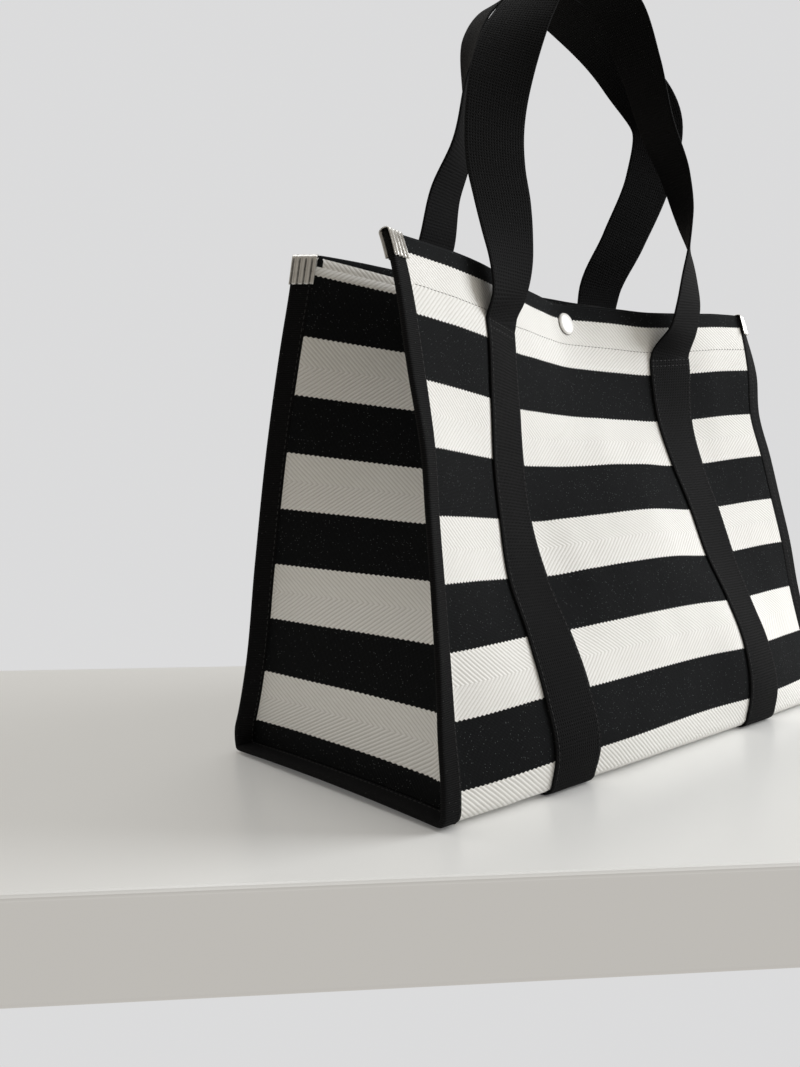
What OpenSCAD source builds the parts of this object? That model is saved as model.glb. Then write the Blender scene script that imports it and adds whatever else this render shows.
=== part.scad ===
// Tote bag in striped canvas: two tall walls, a base, two pleated end gussets bound with tape,
// and two webbing handles that swing on the stitching at the rim.
// The bag stands on its base straps at z = 0. +X is the bag's right, -Y its front, +Z up.

/* [Bag] */
// Width between the two end seams
bag_w = 380; // [300:1:480]
// Depth of the base from front to back
bag_d = 186; // [140:1:240]
// Height of the rim at the corners
bag_h = 294; // [230:1:380]
// Thickness of the canvas
canvas_t = 1.2; // [0.8:0.1:2]
// Depth of the hem folded to the inside of the rim
hem_depth = 32; // [20:1:45]
// Room left between layers of cloth
layer_gap = 0.2; // [0.1:0.05:0.5]

/* [Shape of the walls] */
// How far the front wall leans back at its left end
front_left_lean = 47; // [10:1:60]
// How far the front wall leans back at its right end
front_right_lean = 70; // [10:1:75]
// How far the back wall leans forward at its left end
back_left_lean = 68; // [10:1:75]
// How far the back wall leans forward at its right end
back_right_lean = 60; // [10:1:75]
// Outward swell of each wall near the base
belly = 9; // [0:0.5:14]
// How far the handles draw the upper front wall in, at its middle
front_waist = 24; // [0:1:28]
// How far the upper back wall is drawn in, at its middle
back_waist = 10; // [0:1:20]
// How far the closed snap draws the rim in, at its middle
snap_pinch = 7; // [0:0.5:9]
// How far each handle's leg holds the rim out
strap_pull = 7; // [0:0.5:12]
// How much lower the rim is in the middle than at its corners
rim_sag = 8; // [0:0.5:14]
// How far the gussets fold inwards at the rim
pleat_depth = 66; // [10:1:70]
// Share of the gusset's depth, from back to front, where the fold lies
pleat_place = 0.55; // [0.4:0.01:0.6]

/* [Binding tape and clips] */
// Width of the bound seam that stands out from each corner
binding_w = 13; // [9:0.5:16]
// Thickness of the bound seam: two layers of canvas and two of tape
binding_t = 3.6; // [2.8:0.1:5]
// Radius of the binding's turn at the bottom corners
binding_r = 16; // [10:1:24]
// Height of the metal clip that closes each end of the binding
clip_h = 14; // [9:0.5:18]
// Thickness of the clip's metal
clip_t = 0.8; // [0.5:0.1:1.2]

/* [Webbing] */
// Width of the webbing
strap_w = 38; // [25:1:45]
// Thickness of the webbing
strap_t = 1.6; // [1.2:0.1:2.4]
// Distance of each strap's middle from the middle of the bag
strap_x = 104; // [80:1:125]
// How far below the rim the straps' last stitching lies
stitch_drop = 30; // [22:1:44]

/* [Handles] */
// Height of the handles above the rim
handle_rise = 195; // [120:1:230]
// How far the legs bow out where they pass the rim
handle_bow = 9; // [6:0.5:14]
// Place from front to back where the two handles meet at rest
handle_meet = -2; // [-6:0.5:4]
// Gap between the two handles where they rest against each other
handle_gap = 1; // [0.6:0.1:3]

/* [Snap] */
// Radius of the snap's enamelled caps
snap_r = 7.6; // [5:0.1:9]
// Height of the snap's caps
snap_h = 2.2; // [1.5:0.1:3]
// Distance of the snap's middle below the rim
snap_drop = 13; // [10:0.5:20]

/* [Hidden] */

FRONT = -1;
BACK = 1;
LEFT = -1;
RIGHT = 1;

half_w = bag_w / 2;
half_d = bag_d / 2;
floor_z = strap_t + layer_gap;          // underside of the base cloth
cloth_inset = 1.6;                      // where the strip's long edges stop short of the bound seam
seam_inset = canvas_t + 0.4;            // where the gussets stop short of the walls' middle
hem_inset = 6 * canvas_t;               // where the wall hems stop short of the folded gussets
gusset_hem_from = 0.15;                 // share of the gusset's depth left free at each end of its hem
base_clear = 0.8;                       // between the base cloth's edge and the leaning walls
seam_gap = 1.6;                         // where the bound seam starts outside the corner
seam_z = floor_z + layer_gap + binding_t / 2;
turn_angles = [for (a = [0 : 18 : 90]) a];
stud_r = 2.6;                           // radius of the snap's stud
stud_clear = 0.2;
snap_flat = 1;                          // how much smaller the socket and stud plates are than the caps
clip_over = 1;                          // how much wider a clip is than the tape
clip_run_in = 3;                        // the same for the room inside it, which is open at both edges
snap_seat = 1;                          // room for the curve of the cloth under a snap's flat back

// Heights as shares of the wall: 0 at the base, 1 at the rim
hem_t = 1 - hem_depth / bag_h;
stitch_t = 1 - stitch_drop / bag_h;
snap_t = 1 - snap_drop / bag_h;
floor_t = -floor_z / bag_h;
lower_ts = [for (i = [0 : 11]) i / 12 * min(hem_t, stitch_t)];
upper_ts = [min(hem_t, stitch_t), max(hem_t, stitch_t), (1 + hem_t) / 2, 1];
wall_ts = concat(lower_ts, upper_ts);
hem_ts = [for (t = wall_ts) if (t >= hem_t) t];
strap_ts = concat([floor_t], [for (t = wall_ts) if (t <= stitch_t) t]);
corner_ts = [for (t = wall_ts) if (t * bag_h > seam_z + binding_r) t];
belly_t = 0.13;                         // where the walls swell most
belly_spread = 0.14;
foot_t = 0.08;                          // above this the swell is not held in by the base
waist_t = 0.2;                          // where the walls start to draw in
waist_spread = 0.5;
wave_t = 0.5;                           // above this the wall follows the waves of its rim

// The handles' legs rise to the shoulders, where the arch starts
hinge_clear = 0.6;                      // between a handle's root and the most proud edge of the wall
hinge_gap = 6;                          // from the last stitching up to the line that a handle turns on
handle_top = bag_h + handle_rise;
arch_w = strap_x - 8;
shoulder_z = handle_top - arch_w;
leg_ks = [0, 0.05, 0.1, 0.16, 0.24, 0.32, 0.4, 0.5, 0.6, 0.7, 0.8, 0.9, 1];
bow_above = 2;                          // the legs bow out most this far above the rim
bow_spread = 30;
bow_from = 0.15;                        // share of the leg over which the bow starts
arch_angles = [for (a = [15 : 15 : 165]) a];
twist_from = 0.25;
twist_to = 0.95;

// Places across the wall; the straps' edges are among them, so that the layers follow each other
strap_xs = [for (k = [-1 : 1]) strap_x + k * strap_w / 2];
side_xs = [for (k = [1 : 4]) lerp(strap_x + strap_w / 2, half_w - cloth_inset, k / 4)];
middle_xs = [for (k = [1 : 6]) (strap_x - strap_w / 2) * k / 7];
right_xs = concat(middle_xs, strap_xs, side_xs);
wall_xs = concat([for (i = [len(right_xs) - 1 : -1 : 0]) -right_xs[i]], [0], right_xs);

function lerp(a, b, k) = a + (b - a) * k;
function unit(v) = v / norm(v);
function smooth(k) = let (c = max(0, min(1, k))) c * c * (3 - 2 * c);
function hill(v, middle, spread) = exp(-pow((v - middle) / spread, 2));
function backwards(list) = [for (i = [len(list) - 1 : -1 : 0]) list[i]];

// The walls: side is FRONT or BACK, x runs across, t is the share of the height
function lean(side, x) = side == FRONT
    ? lerp(front_left_lean, front_right_lean, (x + half_w) / bag_w)
    : lerp(back_left_lean, back_right_lean, (x + half_w) / bag_w);
function waist(side) = side == FRONT ? front_waist : back_waist;
function across(x) = 1 - pow(x / half_w, 2);
function rim_wave(x) = strap_pull * (hill(x, -strap_x, strap_w) + hill(x, strap_x, strap_w))
    - snap_pinch * hill(x, 0, strap_w);
function belly_share(t) = hill(t, belly_t, belly_spread) * smooth(t / foot_t);
function wall_y(side, x, t) = side * (half_d - lean(side, x) * max(0, t)
    + across(x) * (belly * belly_share(t) - waist(side) * smooth((t - waist_t) / waist_spread))
    + rim_wave(x) * smooth((t - wave_t) / (1 - wave_t)));
function wall_z(x, t) = floor_z + t * (bag_h - floor_z - rim_sag * across(x) * max(0, t));
function wall_point(side, x, t, out) = [x, wall_y(side, x, t) + side * out, wall_z(x, t)];
function wall_grid(side, xs, ts, out) =
    [for (t = ts) [for (x = side == FRONT ? xs : backwards(xs)) wall_point(side, x, t, out)]];

// The gussets: s runs from the back seam, 0, to the front seam, 1. The cloth keeps its length as it
// folds in, so the fold hangs lower than the seams.
pleat_rise = 0.8;                       // how soon the fold deepens above the base; 1 is evenly
pleat_round = 1.3;                      // how round the fold is; 1 is roundest
pleat_droop = 0.15;
face_step = 0.01;
function pleat(s, t) = pleat_depth * pow(max(0, t), pleat_rise)
    * pow(sin(180 * (s < pleat_place ? s / pleat_place / 2 : 1 - (1 - s) / (1 - pleat_place) / 2)), pleat_round);
function gusset_middle(end, s, t) = [
    end * (half_w - pleat(s, t)),
    lerp(wall_y(BACK, end * half_w, t) - seam_inset, wall_y(FRONT, end * half_w, t) + seam_inset, s),
    wall_z(half_w, t) - pleat_droop * pleat(s, t)
];
function gusset_face(end, s, t) = -end * unit(cross(
    gusset_middle(end, min(1, s + face_step), t) - gusset_middle(end, max(0, s - face_step), t),
    gusset_middle(end, s, min(1, t + face_step)) - gusset_middle(end, s, max(0, t - face_step))
));
function gusset_point(end, s, t, out) = gusset_middle(end, s, t) + out * gusset_face(end, s, t);
gusset_ss = [for (i = [0 : 16]) i / 16];
gusset_hem_ss = [for (s = gusset_ss) if (s > gusset_hem_from && s < 1 - gusset_hem_from) s];
function gusset_grid(end, ss, ts, out) =
    [for (t = ts) [for (s = end == LEFT ? ss : backwards(ss)) gusset_point(end, s, t, out)]];

// A sheet of cloth between two grids of points: outer faces away from the bag, inner towards it
module cloth(outer, inner) {
    rows = len(outer);
    cols = len(outer[0]);
    half = rows * cols;
    function outer_at(r, c) = r * cols + c;
    function inner_at(r, c) = half + r * cols + c;
    function two(a, b, c, d) = [[a, b, c], [a, c, d]];
    polyhedron(
        points = [for (grid = [outer, inner]) for (row = grid) each row],
        faces = concat(
            [for (r = [0 : rows - 2], c = [0 : cols - 2])
                each two(outer_at(r, c), outer_at(r + 1, c), outer_at(r + 1, c + 1), outer_at(r, c + 1))],
            [for (r = [0 : rows - 2], c = [0 : cols - 2])
                each two(inner_at(r, c), inner_at(r, c + 1), inner_at(r + 1, c + 1), inner_at(r + 1, c))],
            [for (c = [0 : cols - 2])
                each two(outer_at(0, c), outer_at(0, c + 1), inner_at(0, c + 1), inner_at(0, c))],
            [for (c = [0 : cols - 2]) each two(outer_at(rows - 1, c + 1), outer_at(rows - 1, c),
                inner_at(rows - 1, c), inner_at(rows - 1, c + 1))],
            [for (r = [0 : rows - 2])
                each two(outer_at(r + 1, 0), outer_at(r, 0), inner_at(r, 0), inner_at(r + 1, 0))],
            [for (r = [0 : rows - 2]) each two(outer_at(r, cols - 1), outer_at(r + 1, cols - 1),
                inner_at(r + 1, cols - 1), inner_at(r, cols - 1))]
        ),
        convexity = 6
    );
}

module wall_layer(side, xs, ts, from, to) {
    cloth(wall_grid(side, xs, ts, to), wall_grid(side, xs, ts, from));
}

module gusset_layer(end, ss, ts, from, to) {
    cloth(gusset_grid(end, ss, ts, to), gusset_grid(end, ss, ts, from));
}

// A flat band swept along stations, each [middle, direction across, direction of its outer face]
function band_edge(station, across_by, out_by) =
    station[0] + across_by * station[1] + out_by * station[2];

module band(stations, width, from, to) {
    cloth(
        [for (s = stations) [for (k = [1, -1]) band_edge(s, k * width / 2, to)]],
        [for (s = stations) [for (k = [1, -1]) band_edge(s, k * width / 2, from)]]
    );
}

module wall_panel(side) color("ivory") wall_layer(side, wall_xs, wall_ts, -canvas_t / 2, canvas_t / 2);

module base_panel() {
    depth = bag_d - canvas_t - 2 * base_clear;
    color("ivory")
        translate([-half_w + cloth_inset, -depth / 2, floor_z])
            cube([bag_w - 2 * cloth_inset, depth, canvas_t]);
}

module gusset(end) color("ivory") gusset_layer(end, gusset_ss, wall_ts, -canvas_t / 2, canvas_t / 2);

hem_from = -canvas_t / 2 - layer_gap - canvas_t;
hem_to = -canvas_t / 2 - layer_gap;
hem_xs = [for (x = wall_xs) max(-half_w + hem_inset, min(half_w - hem_inset, x))];
module wall_hem(side) color("linen") wall_layer(side, hem_xs, hem_ts, hem_from, hem_to);
module gusset_hem(end) color("linen") gusset_layer(end, gusset_hem_ss, hem_ts, hem_from, hem_to);

// The bound seam of one end: down the front corner, under the gusset and up the back corner.
// Each station is [middle of the band, direction across it, direction of its face].
function corner_out(end, side) = [end * cos(45), side * sin(45), 0];
function seam_root(end, side, t) = [end * half_w, wall_y(side, end * half_w, t), wall_z(half_w, t)];
function seam_station(end, side, t, along) = let (out = corner_out(end, side))
    [seam_root(end, side, t) + (seam_gap + binding_w / 2) * out, out, cross(along, out)];
function turn_station(end, side, a) = let (
    out = unit(lerp(corner_out(end, side), [end, 0, 0], a / 90)),
    root = [end * half_w, side * (half_d - binding_r * (1 - cos(a))), seam_z + binding_r * (1 - sin(a))],
    along = [0, -side * sin(a), side * cos(a)]
) [root + (seam_gap + binding_w / 2) * out, out, unit(cross(along, out))];

function binding_stations(end) = concat(
    [for (t = backwards(corner_ts)) seam_station(end, FRONT, t, [0, 0, -1])],
    [for (a = turn_angles) turn_station(end, FRONT, a)],
    [for (a = backwards(turn_angles)) turn_station(end, BACK, a)],
    [for (t = corner_ts) seam_station(end, BACK, t, [0, 0, 1])]
);

module binding(end) color("black")
    band(binding_stations(end), binding_w, -binding_t / 2, binding_t / 2);

// A metal clip folded over the top of the bound seam, and crimped on it
module clip_run(end, side, from, to, width, thickness)
    band([for (t = [from, to]) seam_station(end, side, t, [0, 0, 1])], width, -thickness / 2, thickness / 2);

module clip(end, side) color("silver") difference() {
    clip_run(end, side, 1 - clip_h / bag_h, 1 + (clip_t + layer_gap) / bag_h,
        binding_w + clip_over, binding_t + 2 * (layer_gap + clip_t));
    clip_run(end, side, 1 - 2 * clip_h / bag_h, 1 + layer_gap / bag_h,
        binding_w + clip_run_in, binding_t + 2 * layer_gap);
}

// Webbing: sewn up each wall as far as the hem, and across under the base
module wall_strap(end, side) color("black")
    wall_layer(side, end == RIGHT ? strap_xs : [for (x = backwards(strap_xs)) -x], strap_ts,
        canvas_t / 2 + layer_gap, canvas_t / 2 + layer_gap + strap_t);

module base_strap(end) {
    depth = bag_d + canvas_t;
    color("black")
        translate([end * strap_x - strap_w / 2, -depth / 2, 0])
            cube([strap_w, depth, strap_t]);
}

// The handles: each loop leaves the wall at its two lines of stitching, bows out past the rim,
// and turns edge-on over its legs, so that the arch lies flat across the hand.
// A handle turns on the straight line between its two leg roots, which clears the curved wall.
root_t = stitch_t + hinge_gap / bag_h;
function root_y(side, x) = wall_y(side, x, root_t);
function line_slope(side) = (root_y(side, strap_x) - root_y(side, -strap_x)) / (2 * strap_x);
function wall_proud(side, x, edge) = let (reach = edge * strap_w / 2)
    side * (root_y(side, x + reach) - root_y(side, x) - reach * line_slope(side));
function leg_root(side, end) = let (x = end * strap_x) wall_point(side, x, root_t,
    canvas_t / 2 + hinge_clear + strap_t / 2 + max(0, wall_proud(side, x, LEFT), wall_proud(side, x, RIGHT)));
function hinge_line(side) = unit(leg_root(side, RIGHT) - leg_root(side, LEFT));
function arch_y(side) = handle_meet + side * (strap_w + handle_gap) / 2;
function leg_point(side, end, k) = let (root = leg_root(side, end), z = lerp(root[2], shoulder_z, k)) [
    end * lerp(strap_x, arch_w, smooth(k)),
    lerp(root[1], arch_y(side), smooth(k)) + side * handle_bow * hill(z, bag_h + bow_above, bow_spread)
        * smooth(k / bow_from),
    z
];
function arch_point(side, a) = [-arch_w * cos(a), arch_y(side), shoulder_z + (handle_top - shoulder_z) * sin(a)];
function handle_points(side) = concat(
    [for (k = leg_ks) leg_point(side, LEFT, k)],
    [for (a = arch_angles) arch_point(side, a)],
    [for (k = backwards(leg_ks)) leg_point(side, RIGHT, k)]
);
// Turn of the webbing's width: flat on the wall at the stitching, front to back over the arch
function leg_turn(side, end, k) = let (
    line = hinge_line(side),
    start = atan2(side * line[1], line[0]),
    twist = smooth((k - twist_from) / (twist_to - twist_from))
) lerp(start, end * 90, twist);
function handle_turns(side) = concat(
    [for (k = leg_ks) leg_turn(side, LEFT, k)],
    [for (a = arch_angles) a < 90 ? -90 : 90],
    [for (k = backwards(leg_ks)) leg_turn(side, RIGHT, k)]
);
function handle_stations(side) = let (
    points = handle_points(side),
    turns = handle_turns(side),
    last = len(points) - 1
)
    [for (i = [0 : last]) let (
        along = unit(points[min(i + 1, last)] - points[max(i - 1, 0)]),
        width = (turns[i] < 0 || points[i][0] < 0 ? -1 : 1) * [cos(turns[i]), side * sin(turns[i]), 0]
    ) [points[i], width, unit(cross(along, width))]];

module handle(side) color("black")
    band(handle_stations(side), strap_w, -strap_t / 2, strap_t / 2);

// Snap fastener: an enamelled cap outside and a socket or stud inside each wall
module snap_disc(side, out, h, r) {
    slope = atan2(wall_y(side, 0, snap_t + face_step) - wall_y(side, 0, snap_t - face_step),
        wall_z(0, snap_t + face_step) - wall_z(0, snap_t - face_step));
    translate(wall_point(side, 0, snap_t, out))
        rotate([90 - slope, 0, 0])
            cylinder(h = h, r = r, center = true, $fn = 48);
}

outside_out = canvas_t / 2 + snap_seat + snap_h / 2;
inside_out = -canvas_t / 2 - layer_gap - canvas_t - snap_seat - snap_h / 2;
module front_snap_cap() color("ivory") snap_disc(FRONT, outside_out, snap_h, snap_r);
module back_snap_cap() color("ivory") snap_disc(BACK, outside_out, snap_h, snap_r);

module front_snap_socket() color("silver") difference() {
    snap_disc(FRONT, inside_out, snap_h, snap_r - snap_flat);
    snap_disc(FRONT, inside_out - snap_h / 2, snap_h, stud_r + stud_clear);
}

module back_snap_stud() color("silver") union() {
    snap_disc(BACK, inside_out, snap_h, snap_r - snap_flat);
    snap_disc(BACK, inside_out - snap_h, snap_h, stud_r);
}

wall_panel(FRONT);  // front_panel
base_panel();
wall_panel(BACK);  // back_panel
gusset(LEFT);  // left_gusset
gusset(RIGHT);  // right_gusset
wall_hem(FRONT);  // front_hem
wall_hem(BACK);  // back_hem
gusset_hem(LEFT);  // left_hem
gusset_hem(RIGHT);  // right_hem
binding(LEFT);  // left_binding
binding(RIGHT);  // right_binding
clip(LEFT, FRONT);  // front_left_clip
clip(RIGHT, FRONT);  // front_right_clip
clip(LEFT, BACK);  // back_left_clip
clip(RIGHT, BACK);  // back_right_clip
wall_strap(LEFT, FRONT);  // front_left_strap
wall_strap(RIGHT, FRONT);  // front_right_strap
wall_strap(LEFT, BACK);  // back_left_strap
wall_strap(RIGHT, BACK);  // back_right_strap
base_strap(LEFT);  // base_left_strap
base_strap(RIGHT);  // base_right_strap
handle(FRONT);  // front_handle
handle(BACK);  // back_handle
front_snap_cap();
front_snap_socket();
back_snap_cap();
back_snap_stud();
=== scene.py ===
import math

import bmesh
import bpy
import numpy as np
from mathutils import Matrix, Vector, noise


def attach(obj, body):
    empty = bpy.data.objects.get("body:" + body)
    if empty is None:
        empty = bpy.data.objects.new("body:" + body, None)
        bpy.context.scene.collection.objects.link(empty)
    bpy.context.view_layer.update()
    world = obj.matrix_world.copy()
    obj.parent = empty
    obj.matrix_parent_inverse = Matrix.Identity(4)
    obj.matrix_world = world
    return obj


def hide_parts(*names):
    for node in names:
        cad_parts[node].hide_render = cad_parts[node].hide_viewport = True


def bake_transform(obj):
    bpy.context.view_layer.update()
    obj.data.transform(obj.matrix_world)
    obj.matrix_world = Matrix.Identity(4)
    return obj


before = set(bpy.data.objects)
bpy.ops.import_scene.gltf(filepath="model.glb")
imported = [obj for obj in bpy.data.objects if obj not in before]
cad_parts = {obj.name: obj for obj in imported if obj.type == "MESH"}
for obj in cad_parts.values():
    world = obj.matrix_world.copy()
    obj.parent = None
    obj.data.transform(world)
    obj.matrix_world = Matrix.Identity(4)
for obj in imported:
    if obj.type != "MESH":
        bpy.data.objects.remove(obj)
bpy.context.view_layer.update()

# Camera: a wide view of the bag's front left corner, with the lens held a little above the middle
# of the wall and tipped slightly down.
camera_lens_mm = 33.3211
camera_tip, camera_heading = -3.93, -42.08
camera_data = bpy.data.cameras.new("camera")
camera_data.lens = camera_lens_mm
camera_data.clip_start = 0.01
camera = bpy.data.objects.new("camera", camera_data)
bpy.context.scene.collection.objects.link(camera)
camera.location = (-0.5339, -0.4276, 0.1789)
camera.rotation_euler = (math.radians(90 + camera_tip), 0, math.radians(camera_heading))
bpy.context.scene.camera = camera


# Table: a deep white shelf with a satin top, which the bag stands on close to its front edge.
# It is a plain slab with softly rounded edges, with a faint painted glow standing in for room light,
# strongest on its front face.
front_painted_glow, top_painted_glow = 0.24, 0.08
glow_from, glow_to = -0.003, -0.0005


def add_mesh(name, points, faces, material, smooth=True):
    mesh = bpy.data.meshes.new(name)
    mesh.from_pydata([tuple(p) for p in points], [], [tuple(f) for f in faces])
    mesh.materials.append(material)
    if smooth:
        mesh.shade_smooth()
    piece = bpy.data.objects.new(name, mesh)
    bpy.context.scene.collection.objects.link(piece)
    return piece


def new_material(name, roughness, **constants):
    material = bpy.data.materials.new(name)
    material.use_nodes = True
    shader = material.node_tree.nodes["Principled BSDF"]
    shader.inputs["Roughness"].default_value = roughness
    for socket, value in constants.items():
        shader.inputs[socket.replace("_", " ")].default_value = value
    return material, material.node_tree, shader


def place(tree, kind, sockets=(), **settings):
    node = tree.nodes.new("ShaderNode" + kind)
    for key, value in settings.items():
        setattr(node, key, value)
    for key, value in dict(sockets).items():
        if isinstance(value, bpy.types.NodeSocket):
            tree.links.new(value, node.inputs[key])
        else:
            node.inputs[key].default_value = value
    return node


table_white, tree, shader = new_material(
    "table white", 0.3, Base_Color=(0.70, 0.70, 0.685, 1), Emission_Strength=1.0
)
haze = place(tree, "TexNoise", {"Scale": 3.0, "Detail": 3.0})
soft = place(tree, "MapRange", {"Value": haze.outputs["Fac"], "To Min": 0.26, "To Max": 0.36})
tree.links.new(soft.outputs["Result"], shader.inputs["Roughness"])
here = place(tree, "TexCoord")
level = place(tree, "SeparateXYZ", {"Vector": here.outputs["Object"]})
# Painted light: emission set by height, stronger on the front face than on the top.
face_glow = place(tree, "MapRange", {
    "Value": level.outputs["Z"], "From Min": glow_from, "From Max": glow_to,
    "To Min": front_painted_glow, "To Max": top_painted_glow,
})
glow = place(tree, "CombineColor", dict.fromkeys(("Red", "Green", "Blue"), face_glow.outputs[0]))
tree.links.new(glow.outputs[0], shader.inputs["Emission Color"])

table_turn = math.radians(-36.5)
table_front, table_back = -0.2466, 0.2242
table_reach = 2.0
table_thickness = 0.05
table_edge = 0.003
along = Vector((math.cos(table_turn), math.sin(table_turn), 0))
inward = Vector((-along.y, along.x, 0))
corners = [
    along * x + inward * y + Vector((0, 0, z))
    for z in (-table_thickness, 0)
    for x, y in (
        (-table_reach, table_front),
        (table_reach, table_front),
        (table_reach, table_back),
        (-table_reach, table_back),
    )
]
sides = [(0, 3, 2, 1), (4, 5, 6, 7), (0, 1, 5, 4), (1, 2, 6, 5), (2, 3, 7, 6), (3, 0, 4, 7)]
table = add_mesh("table", corners, sides, table_white, smooth=False)
rounding = table.modifiers.new("edge", "BEVEL")
rounding.width = table_edge
rounding.segments = 3


# Light: a broad soft window to the front right, a weaker lamp overhead, and an even pale room round
# the table. The room looks grey, and lights the bag with a slightly warm tone.
lamp_colour = (0.96, 0.98, 1)
room_seen = (0.71, 0.71, 0.715, 1)
room_tone, room_strength = (1, 0.93, 0.83, 1), 0.37


def add_light(name, place_at, aim, size, power):
    data = bpy.data.lights.new(name, "AREA")
    data.size = size
    data.energy = power
    data.color = lamp_colour
    lamp = bpy.data.objects.new(name, data)
    bpy.context.scene.collection.objects.link(lamp)
    lamp.location = place_at
    lamp.rotation_euler = (Vector(aim) - Vector(place_at)).to_track_quat("-Z", "Y").to_euler()


add_light("window", place_at=(1.2, -0.85, 0.85), aim=(0, 0, 0.15), size=0.9, power=25)
add_light("ceiling", place_at=(0.0, 0.2, 1.7), aim=(0, 0, 0), size=1.6, power=14)

room = bpy.data.worlds.new("room")
room.use_nodes = True
bpy.context.scene.world = room
tree = room.node_tree
seen = tree.nodes["Background"]
seen.inputs["Color"].default_value = room_seen
lit = place(tree, "Background", {"Color": room_tone, "Strength": room_strength})
rays = place(tree, "LightPath")
both = place(tree, "MixShader", {"Fac": rays.outputs["Is Camera Ray"]})
tree.links.new(lit.outputs[0], both.inputs[1])
tree.links.new(seen.outputs[0], both.inputs[2])
tree.links.new(both.outputs[0], tree.nodes["World Output"].inputs["Surface"])
bpy.context.scene.view_settings.view_transform = "Standard"


# Canvas: one heavy cotton, woven in even stripes of cream herringbone and charcoal. The wefts of
# the cream show as chevrons, the charcoal has pale flecks, and the border between them is toothed.
stripe = 0.0341
first_border = 0.0096
chevron_pitch = 0.0021
chevron_slope = math.radians(38)
tooth_pitch, tooth_depth = 0.0032, 0.0003
warp_pitch, weft_pitch = 0.00085, 0.0007
stripes_above = 20


def calc(tree, operation, *values, clamp=False):
    node = tree.nodes.new("ShaderNodeMath")
    node.operation = operation
    node.use_clamp = clamp
    for socket, value in zip(node.inputs, values):
        if isinstance(value, bpy.types.NodeSocket):
            tree.links.new(value, socket)
        else:
            socket.default_value = value
    return node.outputs[0]


def wave(tree, value, pitch):
    """A smooth wave between 0 and 1 along value, repeated at each pitch."""
    angle = calc(tree, "MULTIPLY", value, 2 * math.pi / pitch)
    return calc(tree, "MULTIPLY_ADD", calc(tree, "SINE", angle), 0.5, 0.5)


def ramp(tree, value, low, high):
    node = place(tree, "MapRange", {"Value": value, "From Min": low, "From Max": high})
    node.interpolation_type = "SMOOTHSTEP"
    return node.outputs["Result"]


def blend_colour(tree, share, first, second):
    node = tree.nodes.new("ShaderNodeMix")
    node.data_type = "RGBA"
    for key, value in ((0, share), (6, first), (7, second)):
        if isinstance(value, bpy.types.NodeSocket):
            tree.links.new(value, node.inputs[key])
        else:
            node.inputs[key].default_value = value
    return node.outputs[2]


def new_group(name, inputs, outputs):
    tree = bpy.data.node_groups.new(name, "ShaderNodeTree")
    for label, kind, value in inputs:
        socket = tree.interface.new_socket(label, in_out="INPUT", socket_type="NodeSocket" + kind)
        if value is not None:
            socket.default_value = value
    for label in outputs:
        tree.interface.new_socket(label, in_out="OUTPUT", socket_type="NodeSocketFloat")
    return tree, tree.nodes.new("NodeGroupInput").outputs, tree.nodes.new("NodeGroupOutput").inputs


def add_bump(tree, shader, height, strength, distance):
    bump = place(tree, "Bump", {"Strength": strength, "Distance": distance, "Height": height})
    tree.links.new(bump.outputs["Normal"], shader.inputs["Normal"])


# The fine uneven hair, lint and soft dirt that every woven piece shows.
fibre, given, result = new_group(
    "fibre",
    [("Vector", "Vector", None), ("Fineness", "Float", 2200.0), ("Lint", "Float", 0.5)],
    ["Hair", "Lint", "Shade"],
)
hair = place(
    fibre, "TexNoise", {"Vector": given["Vector"], "Scale": given["Fineness"], "Detail": 2.0}
)
fibre.links.new(hair.outputs["Fac"], result["Hair"])
lint_scale = calc(fibre, "MULTIPLY", given["Fineness"], 0.6)
lint = place(
    fibre, "TexVoronoi", {"Vector": given["Vector"], "Scale": lint_scale, "Randomness": 1.0}
)
pick = place(fibre, "SeparateColor", {"Color": lint.outputs["Color"]})
rare = calc(fibre, "LESS_THAN", pick.outputs["Red"], calc(fibre, "MULTIPLY", given["Lint"], 0.2))
dot = calc(fibre, "SUBTRACT", 1.0, ramp(fibre, lint.outputs["Distance"], 0.10, 0.36))
fibre.links.new(calc(fibre, "MULTIPLY", rare, dot), result["Lint"])
patch = place(fibre, "TexNoise", {"Vector": given["Vector"], "Scale": 14.0, "Detail": 4.0})
fibre.links.new(patch.outputs["Fac"], result["Shade"])


def woven_ground(tree, **fibre_sockets):
    """The directions across and down a cloth, and the outputs of its fibre group."""
    cloth_map = place(tree, "UVMap").outputs["UV"]
    axes = place(tree, "SeparateXYZ", {"Vector": cloth_map})
    threads = place(tree, "Group", {"Vector": cloth_map, **fibre_sockets}, node_tree=fibre)
    return axes.outputs["X"], axes.outputs["Y"], threads.outputs


canvas, tree, shader = new_material("striped canvas", 0.92, Specular_IOR_Level=0.12)
across, down, threads = woven_ground(tree, Fineness=1900.0, Lint=0.55)

pattern_start = first_border - stripes_above * stripe
tooth = calc(tree, "SINE", calc(tree, "MULTIPLY", across, 2 * math.pi / tooth_pitch))
bordered = calc(tree, "MULTIPLY_ADD", tooth, tooth_depth, down)
in_pair = calc(tree, "MODULO", calc(tree, "SUBTRACT", bordered, pattern_start), 2 * stripe)
cream_ends = ramp(tree, in_pair, stripe - 0.0002, stripe + 0.0001)
cream = calc(
    tree, "MULTIPLY", ramp(tree, in_pair, -0.0001, 0.0002), calc(tree, "SUBTRACT", 1.0, cream_ends)
)
in_stripe = calc(tree, "MODULO", calc(tree, "SUBTRACT", down, pattern_start), stripe)
from_middle = calc(tree, "ABSOLUTE", calc(tree, "SUBTRACT", in_stripe, stripe / 2))
slanted = calc(tree, "MULTIPLY_ADD", from_middle, 1 / math.tan(chevron_slope), across)
wobble = calc(tree, "MULTIPLY", calc(tree, "SUBTRACT", threads["Shade"], 0.5), 0.004)
chevron_run = chevron_pitch / math.sin(chevron_slope)
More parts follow.
